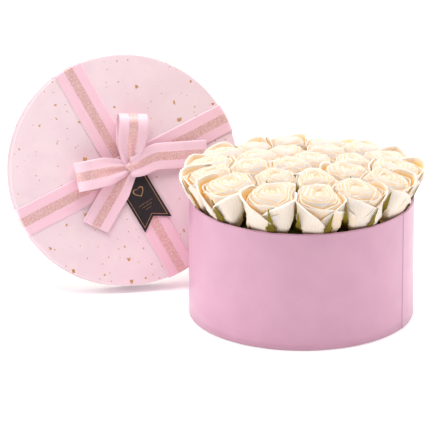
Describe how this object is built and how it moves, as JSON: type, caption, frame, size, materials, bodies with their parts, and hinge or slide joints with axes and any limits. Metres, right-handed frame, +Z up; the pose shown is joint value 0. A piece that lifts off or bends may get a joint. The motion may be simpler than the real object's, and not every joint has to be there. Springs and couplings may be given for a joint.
{
  "type": "flower hat box",
  "caption": "Round pink hat box filled with cream roses, its shallow lid with crossed striped ribbons, a bow and a card leaning behind it.",
  "frame": {"origin": "centre of the box's underside, on the surface that it stands on", "axes": "+Z up, -Y towards the front, +X to the right; the lid leans behind the box on its -X side"},
  "size_m": [0.4768, 0.3101, 0.2642],
  "materials": {
    "board": "matte",
    "box_paper": "satin",
    "foam": "matte",
    "petal": "matte",
    "green": "matte",
    "lid_paper": "satin",
    "ribbon": "satin",
    "bow": "satin",
    "card": "matte"
  },
  "bodies": {
    "root": {"box_wall": "board", "box_base": "board", "box_paper": "box_paper", "foam": "foam", "lid_disc": "lid_paper", "lid_band": "lid_paper", "ribbon_under": "ribbon", "ribbon_over": "ribbon", "bow": "bow", "tag": "card", "bloom_01": "petal", "calyx_01": "green", "bloom_02": "petal", "calyx_02": "green", "bloom_03": "petal", "calyx_03": "green", "bloom_04": "petal", "calyx_04": "green", "bloom_05": "petal", "calyx_05": "green", "bloom_06": "petal", "calyx_06": "green", "bloom_07": "petal", "calyx_07": "green", "bloom_08": "petal", "calyx_08": "green", "bloom_09": "petal", "calyx_09": "green", "bloom_10": "petal", "calyx_10": "green", "bloom_11": "petal", "calyx_11": "green", "bloom_12": "petal", "calyx_12": "green", "bloom_13": "petal", "calyx_13": "green", "bloom_14": "petal", "calyx_14": "green", "bloom_15": "petal", "calyx_15": "green", "bloom_16": "petal", "calyx_16": "green", "bloom_17": "petal", "calyx_17": "green", "bloom_18": "petal", "calyx_18": "green", "bloom_19": "petal", "calyx_19": "green", "bloom_20": "petal", "calyx_20": "green", "bloom_21": "petal", "calyx_21": "green", "bloom_22": "petal", "calyx_22": "green", "bloom_23": "petal", "calyx_23": "green", "bloom_24": "petal", "calyx_24": "green"}
  },
  "joints": []
}
